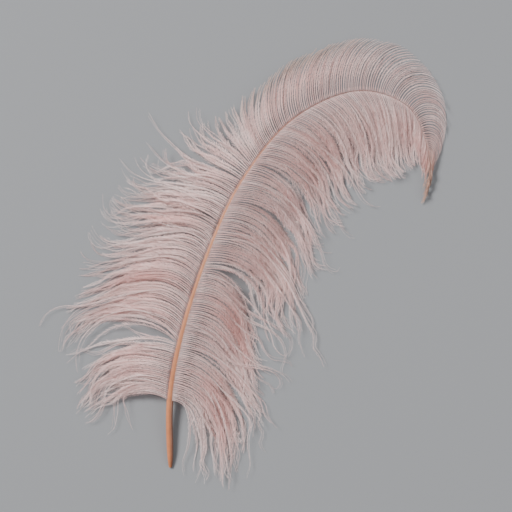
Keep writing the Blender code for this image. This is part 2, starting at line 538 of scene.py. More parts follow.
OUTER_WISPS = (
    Wisp(72, ((-92, -125), (-112, -126), (-121, -135), (-118, -150), (-112, -170)), 2),
    Wisp(76, ((-90, -123), (-112, -124), (-127, -133), (-128, -150), (-131, -165), (-138, -171)), 3),
    Wisp(80, ((-92, -118), (-118, -122), (-139, -137), (-153, -156), (-162, -160)), 4),
    Wisp(88, ((-94, -108), (-122, -112), (-140, -126), (-146, -146), (-158, -160)), 3),
    Wisp(100, ((-94, -97), (-120, -98), (-140, -104), (-155, -120), (-172, -122)), 3),
    Wisp(118, ((-94, -80), (-124, -80), (-150, -90), (-168, -86), (-178, -91)), 3),
    Wisp(125, ((-84, -74), (-100, -72), (-122, -63)), 3),
    Wisp(131, ((-80, -62), (-110, -52), (-140, -56), (-160, -72), (-168, -92), (-167, -112)), 3),
    Wisp(140, ((-84, -52), (-116, -46), (-150, -56), (-176, -80), (-184, -86)), 3),
    Wisp(150, ((-78, -42), (-110, -34), (-145, -40), (-170, -50), (-182, -62), (-187, -92)), 2),
    Wisp(163, ((-76, -28), (-105, -28), (-140, -37), (-165, -42), (-183, -43), (-198, -50), (-208, -66)), 3),
    Wisp(206, ((-72, 12), (-108, 10), (-142, 1), (-159, 6), (-167, 18)), 2),
    Wisp(214, ((-70, 18), (-100, 18), (-131, 13), (-148, 20), (-157, 33)), 2),
    Wisp(221, ((-66, 24), (-92, 27), (-112, 21), (-136, 20), (-148, 28), (-156, 42)), 2),
    Wisp(230, ((-60, 34), (-92, 42), (-121, 38), (-134, 35), (-143, 39), (-146, 49)), 2),
    Wisp(238, ((-58, 40), (-90, 49), (-123, 47), (-137, 46), (-149, 55)), 2),
    Wisp(244, ((-54, 46), (-84, 57), (-117, 56), (-133, 49), (-141, 56), (-143, 71)), 2),
    Wisp(251, ((-50, 54), (-76, 66), (-105, 69), (-123, 67), (-136, 73)), 2),
    Wisp(261, ((-42, 60), (-66, 73), (-91, 79), (-107, 77), (-118, 84), (-125, 97)), 2),
    Wisp(268, ((-40, 67), (-70, 77), (-101, 86), (-116, 94), (-127, 107)), 2),
    Wisp(275, ((-34, 72), (-60, 79), (-85, 83), (-98, 89), (-108, 100), (-111, 114)), 2),
    Wisp(286, ((-30, 83), (-56, 90), (-74, 98), (-89, 110), (-99, 124)), 3),
    Wisp(298, ((-28, 94), (-58, 108), (-82, 130), (-98, 154)), 3),
    Wisp(312, ((-22, 112), (-44, 128), (-56, 142), (-57, 157)), 3),
    Wisp(318, ((-16, 116), (-36, 132), (-46, 144), (-47, 158)), 3),
)

INNER_LOCKS = (
    Lock(68, 92, (-8, -72, -88, -97), 0, 0.7, -3, 0.0),
    Lock(78, 116, (-5, -58, -84, -95), 0, 0.5, 0, 0.3, 0.4, 0.7),
    Lock(90, 132, (-5, -56, -84, -92), 0, 0.5, 1, 0.6, 0.4, 0.7),
    Lock(102, 136, (-3, -49, -77, -97), 0, 0.6, 3, 0.8, 0.4, 0.8),
    Lock(114, 136, (-4, -47, -68, -98), 0, 0.6, 0, 0.5, 0.4, 0.8),
    Lock(126, 130, (-2, -44, -63, -92), 0, 0.55, -2, 0.1, 0.4, 0.8),
    Lock(138, 120, (-2, -45, -62, -84), 20, 0.5, 0, 0.1, 0.4, 0.8),
    Lock(150, 120, (0, -48, -70, -84), 0, 0.5, 1, 0.2, 0.4, 0.8),
    Lock(162, 120, (5, -47, -80, -64), 20, 0.5, 2, 0.7, 0.4, 0.8),
    Lock(174, 120, (6, -47, -80, -62), 30, 0.5, 3, 0.8, 0.4, 0.8),
    Lock(186, 121, (6, -48, -82, -60), 40, 0.55, 2, 0.5, 0.4, 0.8),
    Lock(198, 106, (8, -52, -84, -84), 0, 0.75, -2, 0.2, 1.0),
    Lock(208, 122, (8, -25, -84, -100), 60, 0.75, -1, 0.0),
    Lock(220, 134, (5, -29, -86, -96), 50, 0.75, 2, 0.3),
    Lock(233, 150, (4, -35, -86, -88), 20, 0.75, 1, 0.4, 0.9, 0.3),
    Lock(246, 152, (3, -36, -81, -86), 20, 0.75, 0, 0.4, 0.4, 0.3),
    Lock(258, 146, (5, -38, -79, -86), 20, 0.7, 1, 0.3, 0.4, 0.3),
    Lock(269, 142, (4, -42, -80, -90), 50, 0.75, 0, 0.3, 1.0),
    Lock(282, 138, (6, -32, -77, -94), 60, 0.7, 2, 0.1, 0.4, 0.4),
    Lock(294, 134, (2, -36, -76, -90), 90, 0.65, 0, 0.1, 0.4, 0.4),
    Lock(306, 127, (0, -39, -75, -90), 90, 0.65, 0, 0.3, 0.6, 0.4),
    Lock(315, 121, (-4, -46, -76, -90), 60, 0.8, -2, 0.1, 1.0),
    Lock(325, 127, (2, -34, -75, -94), 50, 0.75, 2, 0.5, 0.4),
    Lock(337, 123, (0, -34, -72, -86), 90, 0.65, 0, 0.3, 0.7, 0.4),
    Lock(349, 116, (-4, -42, -74, -88), 70, 0.65, 0, 0.4, 0.7),
    Lock(361, 118, (-4, -36, -74, -88), 90, 0.65, 3, 0.6, 0.6),
    Lock(374, 112, (-10, -48, -78, -90), 60, 0.7, -2, 0.3, 0.8),
    Lock(388, 110, (-14, -46, -76, -90), 80, 0.6, 0, 0.3, 0.5, 0.4),
    Lock(402, 107, (-20, -54, -78, -92), 60, 0.5, 0, 0.2, 0.4, 0.5),
    Lock(417, 106, (-26, -58, -80, -90), 80, 0.45, 0, 0.2, 0.4, 0.6),
    Lock(432, 106, (-35, -62, -80, -86), 80, 0.45, 0, 0.2, 0.4, 0.6),
    Lock(447, 103, (-45, -68, -82, -86), 70, 0.35, 0, 0.1, 0.4, 0.6),
    Lock(462, 98, (-55, -75, -84, -86), 60, 0.3, 0, 0.2, 0.4, 0.6),
    Lock(477, 86, (-65, -80, -85, -85), 40, 0.3, 0, 0.2, 0.4, 0.6),
    Lock(492, 72, (-75, -83, -86, -85), 30, 0.25, 0, 0.2, 0.4, 0.6),
    Lock(507, 58, (-82, -86, -87, -86), 20, 0.25, 0, 0.2, 0.4, 0.5),
    Lock(522, 45, (-90, -88, -88, -88), 0, 0.25, 0, 0.2),
    Lock(538, 34, (-94, -92, -92, -94), 0, 0.3, 0, 0.3),
    Lock(552, 30, (-98, -97, -97, -100), 0, 0.5, 0, 0.6),
    Lock(567, 27, (-99, -99, -101, -108), 0, 0.6, 0, 0.6),
    Lock(582, 19, (-102, -104, -110, -122), 0, 0.7, 0, 0.5),
    Lock(597, 13, (-104, -110, -120, -134), 0, 0.8, 0, 0.5),
)

INNER_WISPS = (
    Wisp(74, ((-64, -134), (-56, -152), (-56, -178), (-62, -200), (-60, -214)), 2),
    Wisp(84, ((-58, -124), (-44, -146), (-40, -178), (-44, -206), (-52, -222)), 3),
    Wisp(92, ((-52, -114), (-32, -138), (-26, -172), (-30, -204), (-24, -222)), 3),
    Wisp(96, ((-50, -110), (-28, -136), (-18, -170), (-14, -200), (-16, -228)), 3),
    Wisp(102, ((-45, -108), (-20, -128), (-5, -142), (5, -158), (2, -176), (5, -203), (1, -216)), 3),
    Wisp(
        114,
        ((-40, -96), (-15, -118), (5, -138), (16, -150), (13, -160), (18, -170), (15, -180), (25, -197)),
        3,
    ),
    Wisp(126, ((-38, -88), (-12, -106), (8, -130), (14, -144), (8, -152), (0, -148)), 3),
    Wisp(140, ((-34, -78), (-8, -100), (14, -104), (29, -109), (36, -120), (30, -126), (24, -122)), 3),
    Wisp(148, ((-34, -70), (-8, -94), (16, -116), (26, -122), (32, -138)), 3),
    Wisp(156, ((-30, -60), (-6, -86), (12, -100), (26, -104), (40, -112), (46, -120)), 3),
    Wisp(172, ((-26, -44), (-2, -66), (14, -76), (18, -86), (27, -95), (39, -97), (46, -102), (45, -110)), 3),
    Wisp(182, ((-22, -34), (4, -56), (24, -66), (36, -78), (40, -92), (36, -108), (38, -116)), 3),
    Wisp(190, ((-20, -26), (5, -48), (30, -62), (46, -74), (45, -88), (38, -98)), 3),
    Wisp(200, ((-14, -20), (12, -46), (26, -70), (30, -84), (40, -92), (47, -84)), 3),
    Wisp(225, ((0, 10), (30, -20), (46, -44), (55, -58), (53, -74), (55, -84), (60, -95)), 4),
    Wisp(236, ((6, 20), (38, -10), (54, -42), (63, -60), (70, -72), (69, -84), (75, -92), (80, -105)), 6),
    Wisp(244, ((12, 24), (42, -8), (58, -40), (68, -58), (67, -72), (72, -80)), 4),
    Wisp(300, ((30, 72), (60, 44), (74, 14), (80, -4), (92, -10), (97, -4)), 3),
    Wisp(330, ((40, 98), (74, 74), (90, 50), (97, 34), (108, 27), (112, 30)), 3),
    Wisp(368, ((64, 124), (96, 100), (112, 76), (122, 62), (134, 58), (139, 63)), 3),
)


@dataclass(frozen=True)
class Cling:
    """How barbs hang together, in strands of a few barbs and bunches of a few strands.

    Turns are in degrees, and spreads are standard deviations.
    """

    strand_sizes: tuple[int, ...] = (2, 3, 4)
    strand_odds: tuple[float, ...] = (0.3, 0.5, 0.2)
    bunch_sizes: tuple[int, ...] = (1, 2, 3, 4)
    bunch_odds: tuple[float, ...] = (0.2, 0.3, 0.3, 0.2)
    looseness: Pair = (0.06, 1.6)  # least, and how fast it grows with a lock's gather
    shortfall: float = 0.26  # how much shorter than their lock the shortest barbs are
    stray_share: float = 0.14  # of the strands leave their bunch
    turn_spreads: Triple = (4.0, 1.6, 11.0)  # of a bunch, a strand in it and a stray strand
    turn_run: tuple[float, ...] = (0.0, 0.5, 1.1, 1.6)  # how a turn builds up over a lock's four headings
    curl_spreads: Pair = (14.0, 12.0)  # of a bunch and a strand in it
    hook_share: float = 0.35  # of the bunches hook at their ends, where a lock is all frizz
    hook_spread: float = 100.0
    strand_hold: float = 0.8  # how closely a strand's barbs lie together
    bunch_holds: Pair = (0.42, 0.3)  # the same for a bunch, from halfway out, and on top of that at the end
    waver_cycles: tuple[Pair, ...] = ((1.2, 2.8), (1.5, 4.0), (2.0, 6.0))  # of a bunch, a strand and a barb
    waver_sizes: Triple = (1.7 * MM, 0.8 * MM, 0.65 * MM)  # of the same
    wisp_drifts: Triple = (0.5 * MM, 1.1 * MM, 0.8 * MM)  # of its barbs: even, growing outwards and swaying


@dataclass(frozen=True)
class Drape:
    """How barbs come down from the shaft to the table, and lie over each other."""

    reach: float = 80 * MM  # out from the shaft to where the long ones have come down
    arch: float = 2.0 * MM
    rest_mm: Pair = (1.2, 3.6)  # least height once down, and the most on top of that
    layers_mm: Pair = (1.9, 1.0)  # how far bunches, and strands in them, lie over and under their neighbours
    flick_mm: float = 9.0  # how far the ends of some bunches turn up
    wisp_rest_mm: Pair = (2.0, 7.0)
    wisp_arch: float = 3 * MM
    lowest: float = 0.7 * MM


@dataclass(frozen=True)
class DyeTake:
    """How the dye took along barbs, as shares of the finish's salmon and tan."""

    blush: float = 0.88  # of a lock's own, in the middle of its barbs
    bunch_range: Pair = (0.6, 1.2)
    strand_range: Pair = (0.7, 1.2)
    root_blush: float = 0.22  # more, next to the shaft
    crown_blush: float = 0.18  # more, on the outer vane from here to its tip
    crown_start_mm: float = 320.0
    tuft_tan: float = 0.75  # past this share of the shaft's length
    tuft_start: float = 0.91
    haze_tan: float = 0.7  # at the outer ends of the crown's barbs, about here
    haze_middle_mm: float = 385.0
    haze_width_mm: float = 55.0


@dataclass(frozen=True)
class Barbules:
    """The soft side fibres of a barb, drawn thicker and further apart than real ones, so that they show.

    Attributes:
        spacing: Distance between them along each side of the barb.
        bare: Share of the barb next to the shaft that has none.
        clothed: Share of it that they stand along.
        short: Their length where the barb leaves the shaft and at its end.
        long: Their length in its middle.
        lean: The angle between them and the barb, in degrees.
        lean_spread: The standard deviation of that angle.
        droop: How steeply those next to the shaft hang.
        width: Their width where they leave the barb.
        lowest: Least height over the table.
    """

    spacing: float = 0.88 * MM
    bare: float = 0.03
    clothed: float = 0.97
    short: float = 1.4 * MM
    long: float = 4.8 * MM
    lean: float = 32.0
    lean_spread: float = 11.0
    droop: float = 1.1
    width: float = 0.19 * MM
    lowest: float = 0.15 * MM


@dataclass
class Groups:
    """Which strand, and which bunch of strands, each barb hangs in."""

    strand: Array
    bunch: Array

    @property
    def strands(self) -> int:
        """How many strands there are."""
        return self.strand.max() + 1

    @property
    def bunches(self) -> int:
        """How many bunches there are."""
        return self.bunch.max() + 1

    def each(self, numbers: Array) -> Array:
        """One number a barb, from one a strand or one a bunch."""
        return numbers[self.strand if len(numbers) == self.strands else self.bunch]


@dataclass
class BarbSet:
    """Barbs as arrays: one row for each barb, with the same number of points on every barb."""

    points: Array
    lengths: Array
    fluff: Array
    tone: Array
    blush: Array
    tan: Array

    def part(self, chosen: slice) -> "BarbSet":
        """Some of the barbs."""
        return BarbSet(*(getattr(self, each.name)[chosen] for each in fields(self)))

    def joined(self, other: "BarbSet") -> "BarbSet":
        """These barbs and then the others."""
        pairs = ([getattr(barbs, each.name) for barbs in (self, other)] for each in fields(self))
        return BarbSet(*(np.concatenate(pair) for pair in pairs))


def read_along(grid: Array, rows: Array, shares: Array) -> Array:
    """Read values part of the way along barbs.

    Args:
        grid: One row for each barb, with a number or a vector for each of its points.
        rows: The barbs to read.
        shares: How far along each, from 0 to 1.

    Returns:
        The values.
    """
    last = grid.shape[1] - 1
    at = shares * last
    low = np.clip(at.astype(int), 0, last - 1)
    part = (at - low).reshape((-1,) + (1,) * (grid.ndim - 2))
    return grid[rows, low] * (1 - part) + grid[rows, low + 1] * part


@dataclass
class Vane:
    """The barbs on one side of the shaft."""

    name: str
    side: Side
    locks: tuple[Lock, ...]
    wisps: tuple[Wisp, ...]
    quill: Quill
    seed: int
    node: str  # the solid that its pieces stand for
    barb_spacing: float = 0.65 * MM
    root_scatter: float = 0.12  # of the roots along the shaft, as a share of the spacing
    barb_radius: float = 0.23 * MM
    points_per_barb: int = 27
    pieces: int = 6
    long_barb: float = 105 * MM  # a barb of this length or more wavers fully
    cling: Cling = Cling()
    drape: Drape = Drape()
    dye: DyeTake = DyeTake()
    barbules: Barbules = Barbules()

    def __post_init__(self) -> None:
        """Start the vane's own random draws."""
        self.rng = np.random.default_rng(self.seed)
        self.steps = np.linspace(0, 1, self.points_per_barb)

    def of_locks(self, name: str) -> Array:
        """The locks' values of one field, by its name."""
        return np.array([getattr(lock, name) for lock in self.locks], float)

    def headings_at(self, keys: Array, curl: Array, steps: Array) -> Array:
        """Read headings along barbs.

        Args:
            keys: The four headings of each barb, in degrees.
            curl: Each barb's further turn at its end, in degrees.
            steps: Shares of the length.

        Returns:
            One row of headings for each barb, in radians.
        """
        rows = np.array([np.interp(steps, (0, 1 / 3, 2 / 3, 1), row) for row in keys])
        turn = np.clip((steps - 0.75) / 0.25, 0, None) ** 1.5
        return np.radians(rows + curl[:, None] * turn[None, :])

    def run_out(self, starts: Array, headings: Array, lengths: Array) -> Array:
        """Follow headings.

        Args:
            starts: Each barb's first plan point.
            headings: One row of headings for each barb, in radians.
            lengths: The barbs' lengths.

        Returns:
            The barbs' plan points.
        """
        ways = np.stack([np.cos(headings), np.sin(headings)], axis=-1)
        middles = (ways[:, 1:] + ways[:, :-1]) / 2
        legs = middles * (lengths / (headings.shape[1] - 1))[:, None, None]
        gone = np.concatenate([np.zeros_like(legs[:, :1]), np.cumsum(legs, axis=1)], axis=1)
        return starts[:, None, :] + gone

    def starts(self, roots: Array) -> Array:
        """Plan points where barbs leave the side of the shaft."""
        away = self.quill.shoulders(roots)[0] * self.side.value
        return self.quill.places(roots) + self.quill.lefts(roots) * away[:, None]

    def grow(self) -> BarbSet:
        """Lay out every barb of the vane.

        Returns:
            The barbs, in order from the bare end to the tip, and then those of the wisps.
        """
        rng, steps, cling = self.rng, self.steps, self.cling
        lock_roots = self.of_locks("root") * MM
        roots = np.arange(lock_roots[0], lock_roots[-1], self.barb_spacing)
        scatter = rng.normal(0, self.root_scatter * self.barb_spacing, len(roots))
        roots = np.sort(roots + scatter).clip(*lock_roots[[0, -1]])
        count = len(roots)
        between = self.blend_of_locks(roots, lock_roots)
        gather, frizz = between("gather"), between("frizz")
        least, growth = cling.looseness
        loose = np.clip(growth * gather, least, 1)
        hung = self.hang_together(count)
        each, strands, bunches = hung.each, hung.strands, hung.bunches
        stray = each(rng.random(strands) < cling.stray_share)

        # Bunches and strands turn away from their lock's line, and some hook at their ends.
        bunch_turn, strand_turn, stray_turn = cling.turn_spreads
        turn = each(rng.normal(0, bunch_turn, bunches)) + each(rng.normal(0, strand_turn, strands))
        turn = turn + np.where(stray, each(rng.normal(0, stray_turn, strands)), 0)
        keys = between("headings") + (turn * loose)[:, None] * np.array(cling.turn_run)
        hooked = each(rng.random(bunches)) < cling.hook_share * frizz
        hooks = each(rng.normal(0, cling.curl_spreads[0], bunches))
        hooks = hooks + np.where(hooked, each(rng.normal(0, cling.hook_spread, bunches)), 0)
        curl = between("curl") * each(rng.uniform(0.5, 1.5, strands))
        curl = curl + (hooks + each(rng.normal(0, cling.curl_spreads[1], strands))) * loose
        short = cling.shortfall * rng.random(count) ** 1.3 + each(rng.uniform(-0.06, 0.08, bunches))
        lengths = between("length") * MM * (1.02 - loose * short) * rng.uniform(0.99, 1.01, count)

        # They gather into their lock, draw together and waver on the way out.
        plan = self.run_out(self.starts(roots), self.headings_at(keys, curl, steps), lengths)
        pull = gather[:, None] * smooth(steps, 0.12, 0.75) * np.where(stray, 0.4, 1.0)[:, None]
        plan = plan + (self.gathered(roots, lengths, lock_roots) - plan) * pull[..., None]
        part = 1 - 0.7 * smooth(steps, 0.35, 0.5) * loose[:, None]
        plan = self.draw_together(plan, hung.strand, cling.strand_hold * smooth(steps, 0, 0.07) * part)
        middle_hold, end_hold = cling.bunch_holds
        closing = middle_hold * smooth(steps, 0.4, 0.5) + end_hold * smooth(steps, 0.8, 0.2)
        hold = closing * (loose * np.where(stray, 0.2, 1.0) * (1 - 0.75 * frizz))[:, None]
        plan = self.draw_together(plan, hung.bunch, hold)
        freedom = loose * np.clip(lengths / self.long_barb, 0, 1) * (1 + 0.8 * frizz)
        plan = self.waver(plan, hung, freedom)

        height = self.heights(roots, lengths, hung, between("lift"))
        points = np.concatenate([plan, height[..., None]], axis=-1)
        tone = each(rng.beta(2.0, 2.0, strands)) * 0.7 + rng.uniform(0, 0.3, count)
        blush = self.blush_along(roots, between("blush"), hung)
        fluff = 0.55 + 0.45 * smooth(loose / 0.5)
        fluff = fluff * (1 - 0.7 * smooth(roots / self.quill.length, 0.9, 0.06))
        main = BarbSet(points, lengths, fluff, tone, blush, self.tan_along(roots))
        return main.joined(self.grow_wisps())

    def blend_of_locks(self, roots: Array, lock_roots: Array) -> Callable[[str], Array]:
        """Work out how each barb takes after the locks on both sides of it.

        Args:
            roots: Where the barbs leave the shaft.
            lock_roots: Where the locks' middles leave it.

        Returns:
            A function that turns the locks' values of one field into one value a barb.
        """
        low = np.clip(np.searchsorted(lock_roots, roots, side="right") - 1, 0, len(lock_roots) - 2)
        share = (roots - lock_roots[low]) / (lock_roots[low + 1] - lock_roots[low])
        split = self.of_locks("split")[low]
        share = share * (1 - split) + split * smooth((share - 0.5) / 0.16 + 0.5)

        def between(name: str) -> Array:
            """One value a barb, from the locks' field of this name."""
            values = self.of_locks(name)
            after = share if values.ndim == 1 else share[:, None]
            return values[low] * (1 - after) + values[low + 1] * after

        return between

    def hang_together(self, count: int) -> Groups:
        """Sort barbs into strands, and strands into bunches.

        Args:
            count: How many barbs there are.

        Returns:
            The strand and the bunch of each.
        """
        cling = self.cling
        sizes = self.rng.choice(cling.strand_sizes, size=count, p=cling.strand_odds)
        strand = np.repeat(np.arange(count), sizes)[:count]
        strands = strand[-1] + 1
        sizes = self.rng.choice(cling.bunch_sizes, size=strands, p=cling.bunch_odds)
        return Groups(strand, np.repeat(np.arange(strands), sizes)[:strands][strand])

    def gathered(self, roots: Array, lengths: Array, lock_roots: Array) -> Array:
        """Work out where each barb would run if its lock narrowed evenly to its end.

        Args:
            roots: Where the barbs leave the shaft.
            lengths: The barbs' lengths.
            lock_roots: Where the locks' middles leave the shaft.

        Returns:
            The barbs' plan points.
        """
        edges = (lock_roots[1:] + lock_roots[:-1]) / 2
        own_lock = np.searchsorted(edges, roots)
        low = np.concatenate([[lock_roots[0]], edges])[own_lock]
        high = np.concatenate([edges, [lock_roots[-1]]])[own_lock]
        across = np.clip(2 * (roots - low) / (high - low) - 1, -1, 1)
        middle = self.lock_middles(lengths, own_lock)
        half = (high - low)[:, None] / 2 * (1 - 0.6 * self.steps)
        return middle + self.sideways(middle) * (across[:, None] * half * -self.side.value)[..., None]

    def lock_middles(self, lengths: Array, own_lock: Array) -> Array:
        """Read the middle line of each barb's lock, at the barb's own distances along it.

        Args:
            lengths: The barbs' lengths.
            own_lock: The number of each barb's lock.

        Returns:
            One row of plan points for each barb.
        """
        fine = np.linspace(0, 1.25, 81)
        whole, curl = self.of_locks("length") * MM, self.of_locks("curl")
        headings = self.headings_at(self.of_locks("headings"), curl, np.clip(fine, 0, 1))
        lines = self.run_out(self.starts(self.of_locks("root") * MM), headings, whole * 1.25)
        out = np.empty((len(lengths), self.points_per_barb, 2))
        for row, (length, lock) in enumerate(zip(lengths, own_lock)):
            share = self.steps * length / whole[lock]
            for k in (0, 1):
                out[row, :, k] = np.interp(share, fine, lines[lock, :, k])
        return out

    def sideways(self, plan: Array) -> Array:
        """Unit plan vectors to the left of barbs."""
        left = np.stack([-np.gradient(plan[..., 1], axis=1), np.gradient(plan[..., 0], axis=1)], axis=-1)
        return left / (np.linalg.norm(left, axis=-1, keepdims=True) + TINY)

    def draw_together(self, plan: Array, group: Array, hold: Array) -> Array:
        """Pull the barbs of each group towards its middle line.

        Args:
            plan: The barbs' plan points.
            group: Each barb's group.
            hold: How strongly each point is pulled, from 0 to 1.

        Returns:
            The new plan points.
        """
        groups = group.max() + 1
        total = np.zeros((groups, *plan.shape[1:]))
        np.add.at(total, group, plan)
        centre = total / np.bincount(group, minlength=groups)[:, None, None]
        return plan + (centre[group] - plan) * hold[..., None]

    def waver(self, plan: Array, hung: Groups, freedom: Array) -> Array:
        """Let bunches, strands and single barbs wind from side to side on their way out.

        Args:
            plan: The barbs' plan points.
            hung: Their strands and bunches.
            freedom: How far each may wind, as a share of the usual.

        Returns:
            The new plan points.
        """
        rng, cling = self.rng, self.cling
        moved = np.zeros(plan.shape[:2])
        levels = (hung.bunch, hung.strand, np.arange(len(plan)))
        for group, cycles, size in zip(levels, cling.waver_cycles, cling.waver_sizes):
            count = group.max() + 1
            turns = rng.uniform(*cycles, count)[group][:, None]
            phase = rng.uniform(0, 2 * math.pi, count)[group][:, None]
            strength = (rng.gamma(2.0, 0.5, count)[group] * size * freedom)[:, None]
            wave = np.sin(2 * math.pi * turns * self.steps + phase)
            moved += strength * wave * smooth(self.steps, 0.2, 0.7)
        return plan + self.sideways(plan) * moved[..., None]

    def heights(self, roots: Array, lengths: Array, hung: Groups, lift: Array) -> Array:
        """Bring barbs from the shaft's flank, over a low arch and down to the table.

        Args:
            roots: Where the barbs leave the shaft.
            lengths: Their lengths.
            hung: Their strands and bunches.
            lift: Their locks' heights over the next ones, in mm.

        Returns:
            The heights of their points.
        """
        rng, drape, steps = self.rng, self.drape, self.steps
        run = lengths[:, None] * steps
        start = self.quill.shoulders(roots)[1]
        reach = np.minimum(drape.reach, 0.92 * lengths)[:, None]
        least, more = drape.rest_mm
        rest = hung.each(least + more * rng.random(hung.bunches) ** 1.5) * MM
        fall = smooth(run / reach)
        arch = np.sin(math.pi * np.clip(run / (0.7 * reach), 0, 1)) * drape.arch
        bunch_layer, strand_layer = drape.layers_mm
        layer = hung.each(rng.uniform(-1, 1, hung.bunches)) * bunch_layer * MM
        layer = layer + hung.each(rng.uniform(-1, 1, hung.strands)) * strand_layer * MM + lift * MM
        body = np.sin(math.pi * steps**0.7)
        flick = hung.each(rng.random(hung.bunches) ** 3) * drape.flick_mm * MM
        z = start[:, None] * (1 - fall) + rest[:, None] * fall + arch + layer[:, None] * body
        z = z + flick[:, None] * smooth(steps, 0.7, 0.3) ** 1.5
        return np.maximum(z, drape.lowest)

    def blush_along(self, roots: Array, blush: Array, hung: Groups) -> Array:
        """Work out how dyed each point is: most in the middle of a barb's length, and more on the crown.

        Args:
            roots: Where the barbs leave the shaft.
            blush: How much more dye their locks took.
            hung: Their strands and bunches.

        Returns:
            One row for each barb, from 0 to 1.
        """
        dye = self.dye
        take = dye.blush * blush * hung.each(self.rng.uniform(*dye.bunch_range, hung.bunches))
        take = take * hung.each(self.rng.uniform(*dye.strand_range, hung.strands))
        run = np.exp(-(((self.steps - 0.5) / 0.32) ** 2))
        past_start = smooth(roots / MM, dye.crown_start_mm, 60)[:, None]
        crown = dye.crown_blush * past_start if self.side is Side.OUTER else 0.0
        near = dye.root_blush * (1 - smooth(self.steps, 0, 0.6))
        return np.clip(take[:, None] * run + crown + near, 0, 1)

    def tan_along(self, roots: Array) -> Array:
        """Work out how much natural tan shows: all along the tuft, and in a haze at the crown's outer ends.

        Args:
            roots: Where the barbs leave the shaft.

        Returns:
            One row for each barb, from 0 to 1.
        """
        dye = self.dye
        tuft = smooth(roots / self.quill.length, dye.tuft_start, 0.06) * dye.tuft_tan
        tan = np.repeat(tuft[:, None], len(self.steps), axis=1)
        if self.side is Side.OUTER:
            crown = np.exp(-(((roots / MM - dye.haze_middle_mm) / dye.haze_width_mm) ** 2))
            tan = tan + crown[:, None] * smooth(self.steps, 0.55, 0.4) * dye.haze_tan
        return np.clip(tan, 0, 1)

    def grow_wisps(self) -> BarbSet:
        """Lay out the barbs of every loose wisp.

        Returns:
            The barbs, wisp by wisp.
        """
        rng, steps, drape, rows, lengths = self.rng, self.steps, self.drape, [], []
        even, growing, swaying = self.cling.wisp_drifts
        for wisp in self.wisps:
            root = np.array([wisp.root]) * MM
            line = spline_through(np.vstack([self.starts(root), np.array(wisp.route, float) * MM]))
            start = self.quill.shoulders(root)[1][0]
            for _ in range(wisp.barbs):
                whole = evenly_along(line, 2)[1] * rng.uniform(0.9, 1.0)
                plan, _ = evenly_along(line, steps * whole)
                drift = rng.normal(0, even) + rng.normal(0, growing) * steps
                sway = rng.normal(0, swaying)
                drift = drift + sway * np.sin(steps * rng.uniform(8, 22) + rng.uniform(0, 6))
                plan = plan + self.sideways(plan[None])[0] * (drift * smooth(steps, 0, 0.2))[:, None]
                fall = smooth(steps * whole / drape.reach)
                rest = rng.uniform(*drape.wisp_rest_mm) * MM
                z = start * (1 - fall) + rest * fall + drape.wisp_arch * np.sin(math.pi * steps)
                rows.append(np.column_stack([plan, z]))
                lengths.append(whole)
        count = len(rows)
        tone = rng.uniform(0.2, 0.9, count)
        nothing = np.zeros((count, self.points_per_barb))
        return BarbSet(np.array(rows), np.array(lengths), np.full(count, 0.6), tone, nothing + 0.1, nothing)

    def build(self, finish: bpy.types.Material) -> None:
        """Make the vane's pieces, in order from the bare end to the tip.

        Args:
            finish: The barbs' material.
        """
        barbs = self.grow()
        made = []
        weights = np.cumsum(barbs.lengths) / barbs.lengths.sum()
        between = np.searchsorted(weights, [k / self.pieces for k in range(1, self.pieces)])
        cuts = [0, *between, len(weights)]
        for number, (first, last) in enumerate(zip(cuts, cuts[1:]), 1):
            piece = self.make_piece(f"{self.name}_barbs_{number}", barbs.part(slice(first, last)))
            piece.data.materials.append(finish)
            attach(piece, "root")
            made.append(piece)
            LOG.info("%s: %d barbs, %d triangles", piece.name, last - first, len(piece.data.polygons))
        for piece in made:
            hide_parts(self.node)

    def make_piece(self, name: str, barbs: BarbSet) -> bpy.types.Object:
        """Join the shafts and the barbules of some barbs in one mesh.

        Args:
            name: The piece's name.
            barbs: The barbs.

        Returns:
            The piece.
        """
        shafts, slivers = self.barb_shafts(barbs), self.barbule_slivers(barbs)
        verts, tris, uvs, rows, shares = (np.concatenate(both) for both in zip(shafts, slivers))
        tris[len(shafts[1]) :] += len(shafts[0])
        values = {
            "tone": barbs.tone[rows],
            "blush": read_along(barbs.blush, rows, shares),
            "tan": read_along(barbs.tan, rows, shares),
        }
        return mesh_object(name, verts, tris, uvs, values)

    def frames(self, points: Array) -> tuple[Array, Array, Array]:
        """Find the ways along and across barbs.

        Args:
            points: The barbs' points.

        Returns:
            Forward, sideways and upward unit vectors.
        """
        forward = np.gradient(points, axis=1)
        forward /= np.linalg.norm(forward, axis=-1, keepdims=True) + TINY
        sideways = np.cross(forward, np.array([0.0, 0.0, 1.0]))
        sideways /= np.linalg.norm(sideways, axis=-1, keepdims=True) + TINY
        return forward, sideways, np.cross(sideways, forward)

    def barb_shafts(self, barbs: BarbSet) -> tuple[Array, ...]:
        """Make three-sided tapering tubes along barbs.

        Args:
            barbs: The barbs.

        Returns:
            Vertices, triangles, map places, and each vertex's barb and its share of the way along.
        """
        count, steps = barbs.points.shape[:2]
        _, sideways, upwards = (way[:, :, None, :] for way in self.frames(barbs.points))
        radius = self.barb_radius * (1 - 0.8 * self.steps**1.3)
        turns = np.array([math.pi / 2, math.pi * 7 / 6, math.pi * 11 / 6])[None, None, :, None]
        ring = sideways * np.cos(turns) + upwards * np.sin(turns)
        verts = barbs.points[:, :, None, :] + ring * radius[None, :, None, None]
        index = np.arange(count * steps * 3).reshape(count, steps, 3)
        near, far = index[:, :-1], index[:, 1:]
        next_near, next_far = np.roll(near, -1, axis=2), np.roll(far, -1, axis=2)
        sides = np.stack([near, next_near, next_far, near, next_far, far], axis=-1).reshape(-1, 3)
        ends = np.concatenate([index[:, 0, ::-1], index[:, -1]], axis=0)
        rows = np.repeat(np.arange(count), steps * 3)
        shares = np.tile(np.repeat(self.steps, 3), count)

